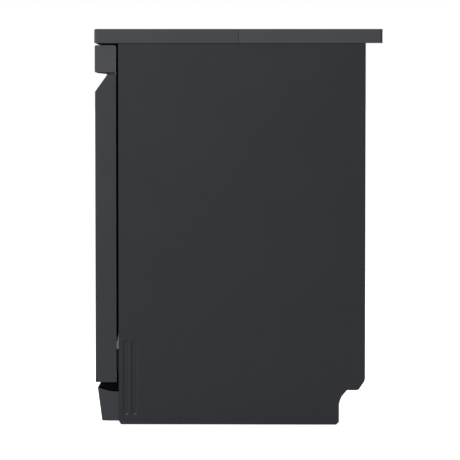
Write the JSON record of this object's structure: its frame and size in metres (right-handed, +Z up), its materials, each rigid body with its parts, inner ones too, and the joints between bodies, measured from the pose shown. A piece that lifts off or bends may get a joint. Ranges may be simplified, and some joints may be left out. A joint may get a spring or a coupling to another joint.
{
  "type": "dishwasher",
  "caption": "Built-in dishwasher with a graphite painted cabinet and drop-down door, steel tub, sliding racks, spray arms and levelling feet.",
  "frame": {"origin": "on the floor, below the centre of the worktop, at the bottom centre of the bounding box", "axes": "+Z up, -Y towards the door (front), +X to the right as seen from the front"},
  "size_m": [0.6, 0.612, 0.845],
  "materials": {
    "graphite_paint": "satin",
    "console_paint": "satin",
    "worktop_laminate": "fine grain",
    "edge_trim": "satin",
    "stainless": "brushed",
    "galvanised": "zinc coated",
    "black_steel": "phosphated steel",
    "black_rubber": "matte",
    "black_plastic": "moulded",
    "plinth_plastic": "moulded",
    "white_plastic": "moulded",
    "grey_plastic": "moulded",
    "blue_plastic": "moulded",
    "rack_coating": "nylon coated wire",
    "display_cover": "gloss",
    "circuit_board": "solder resist",
    "button_plastic": "satin"
  },
  "bodies": {
    "cabinet": {"side_panel_right": "graphite_paint", "side_panel_left": "graphite_paint", "worktop_board": "worktop_laminate", "worktop_front_trim": "edge_trim", "worktop_rear_trim": "edge_trim", "worktop_front_seal": "black_rubber", "back_panel": "galvanised", "base_tray": "black_plastic", "kick_plate": "plinth_plastic", "top_crossbar": "galvanised", "cabinet_screws": "galvanised", "tub": "stainless", "door_seal": "black_rubber", "hinge_brackets": "galvanised", "hinge_springs": "galvanised", "sump": "black_plastic", "filter_plate": "stainless", "circulation_pump": "black_plastic", "drain_pump": "white_plastic", "water_softener": "white_plastic", "inlet_valve": "white_plastic", "air_break": "white_plastic", "water_feed_pipe": "grey_plastic", "rack_rails": "galvanised"},
    "door": {"door_outer_panel": "graphite_paint", "door_inner_panel": "stainless", "console": "console_paint", "handle_pocket": "black_plastic", "door_latch": "black_plastic", "hinge_arms": "black_steel", "door_bottom_seal": "black_rubber", "dispenser_body": "grey_plastic", "display_window": "display_cover", "control_board": "circuit_board"},
    "lower_basket": {"lower_rack": "rack_coating", "cutlery_basket": "grey_plastic"},
    "upper_basket": {"upper_rack": "rack_coating", "upper_feed_pipe": "grey_plastic"},
    "telescopic_runners": {"upper_runners": "galvanised"},
    "cutlery_drawer": {"cutlery_tray": "grey_plastic"},
    "front_wheel_pair": {"front_wheels": "grey_plastic"},
    "rear_wheel_pair": {"rear_wheels": "grey_plastic"},
    "folding_tines": {"tine_row": "rack_coating"},
    "cup_rest_left": {"cup_shelf_left": "rack_coating"},
    "cup_rest_right": {"cup_shelf_right": "rack_coating"},
    "lower_arm": {"lower_spray_arm": "grey_plastic"},
    "middle_arm": {"middle_spray_arm": "grey_plastic"},
    "top_arm": {"top_spray_arm": "grey_plastic"},
    "filter": {"filter_cup": "stainless"},
    "salt_lid": {"salt_cap": "white_plastic"},
    "float": {"float_cap": "white_plastic"},
    "front_left_foot": {"foot_front_left": "black_plastic"},
    "front_right_foot": {"foot_front_right": "black_plastic"},
    "rear_left_foot": {"foot_rear_left": "black_plastic"},
    "rear_right_foot": {"foot_rear_right": "black_plastic"},
    "detergent_lid": {"dispenser_lid": "grey_plastic"},
    "rinse_lid": {"rinse_aid_cap": "blue_plastic"},
    "power_key": {"power_button": "button_plastic"},
    "program_key": {"program_button": "button_plastic"},
    "start_key": {"start_button": "button_plastic"}
  },
  "joints": [
    {"name": "door_hinge", "type": "hinge", "parent": "cabinet", "child": "door", "pos_m": [0, -0.258, 0.172], "axis": [1, 0, 0], "range_deg": [0, 90], "stiffness_Nm_per_rad": 17},
    {"name": "upper_rack_slide", "type": "slide", "parent": "cabinet", "child": "upper_basket", "axis": [0, -1, 0], "range_m": [0, 0.42]},
    {"name": "upper_runner_slide", "type": "slide", "parent": "cabinet", "child": "telescopic_runners", "axis": [0, -1, 0], "range_m": [0, 0.21]},
    {"name": "cutlery_tray_slide", "type": "slide", "parent": "cabinet", "child": "cutlery_drawer", "axis": [0, -1, 0], "range_m": [0, 0.3]},
    {"name": "lower_rack_slide", "type": "slide", "parent": "cabinet", "child": "lower_basket", "axis": [0, -1, 0], "range_m": [0, 0.15]},
    {"name": "front_wheel_spin", "type": "hinge", "parent": "lower_basket", "child": "front_wheel_pair", "pos_m": [0, -0.125, 0.212], "axis": [1, 0, 0], "range_deg": [0, 476]},
    {"name": "rear_wheel_spin", "type": "hinge", "parent": "lower_basket", "child": "rear_wheel_pair", "pos_m": [0, 0.15, 0.212], "axis": [1, 0, 0], "range_deg": [0, 476]},
    {"name": "tine_row_fold", "type": "hinge", "parent": "lower_basket", "child": "folding_tines", "pos_m": [-0.062, 0.035, 0.247], "axis": [0, -1, 0], "range_deg": [0, 85]},
    {"name": "cup_shelf_left_fold", "type": "hinge", "parent": "upper_basket", "child": "cup_rest_left", "pos_m": [-0.232, -0.014, 0.636], "axis": [0, -1, 0], "range_deg": [0, 85]},
    {"name": "cup_shelf_right_fold", "type": "hinge", "parent": "upper_basket", "child": "cup_rest_right", "pos_m": [0.232, -0.014, 0.636], "axis": [0, 1, 0], "range_deg": [0, 85]},
    {"name": "lower_arm_spin", "type": "hinge", "parent": "cabinet", "child": "lower_arm", "pos_m": [0, -0.006, 0.2145], "axis": [0, 0, 1], "continuous": true},
    {"name": "middle_arm_spin", "type": "hinge", "parent": "upper_basket", "child": "middle_arm", "pos_m": [0, -0.006, 0.5445], "axis": [0, 0, 1], "continuous": true},
    {"name": "top_arm_spin", "type": "hinge", "parent": "cabinet", "child": "top_arm", "pos_m": [0, -0.006, 0.7625], "axis": [0, 0, 1], "continuous": true},
    {"name": "filter_turn", "type": "hinge", "parent": "cabinet", "child": "filter", "pos_m": [0.048, 0.044, 0.185], "axis": [0, 0, 1], "range_deg": [0, 90]},
    {"name": "salt_lid_turn", "type": "hinge", "parent": "cabinet", "child": "salt_lid", "pos_m": [-0.15, 0.118, 0.19], "axis": [0, 0, 1], "range_deg": [0, 90]},
    {"name": "float_rise", "type": "slide", "parent": "cabinet", "child": "float", "axis": [0, 0, 1], "range_m": [0, 0.012]},
    {"name": "front_left_foot_adjust", "type": "slide", "parent": "cabinet", "child": "front_left_foot", "axis": [0, 0, -1], "range_m": [0, 0.03]},
    {"name": "front_right_foot_adjust", "type": "slide", "parent": "cabinet", "child": "front_right_foot", "axis": [0, 0, -1], "range_m": [0, 0.03]},
    {"name": "rear_left_foot_adjust", "type": "slide", "parent": "cabinet", "child": "rear_left_foot", "axis": [0, 0, -1], "range_m": [0, 0.03]},
    {"name": "rear_right_foot_adjust", "type": "slide", "parent": "cabinet", "child": "rear_right_foot", "axis": [0, 0, -1], "range_m": [0, 0.03]},
    {"name": "detergent_lid_slide", "type": "slide", "parent": "door", "child": "detergent_lid", "axis": [-1, 0, 0], "range_m": [0, 0.072]},
    {"name": "rinse_lid_turn", "type": "hinge", "parent": "door", "child": "rinse_lid", "pos_m": [0, -0.2425, 0.438], "axis": [0, 1, 0], "range_deg": [0, 90]},
    {"name": "power_press", "type": "slide", "parent": "door", "child": "power_key", "axis": [0, 1, 0], "range_m": [0, 0.0015], "stiffness_N_per_m": 400},
    {"name": "program_press", "type": "slide", "parent": "door", "child": "program_key", "axis": [0, 1, 0], "range_m": [0, 0.0015], "stiffness_N_per_m": 400},
    {"name": "start_press", "type": "slide", "parent": "door", "child": "start_key", "axis": [0, 1, 0], "range_m": [0, 0.0015], "stiffness_N_per_m": 400}
  ],
  "couplings": [
    {"joint": "upper_rack_slide", "follows": "door_hinge", "m_per_rad": 0.267},
    {"joint": "upper_runner_slide", "follows": "door_hinge", "m_per_rad": 0.1335},
    {"joint": "cutlery_tray_slide", "follows": "door_hinge", "m_per_rad": 0.19},
    {"joint": "lower_rack_slide", "follows": "door_hinge", "m_per_rad": 0.095},
    {"joint": "front_wheel_spin", "follows": "door_hinge", "ratio": 5.2778},
    {"joint": "rear_wheel_spin", "follows": "door_hinge", "ratio": 5.2778}
  ]
}
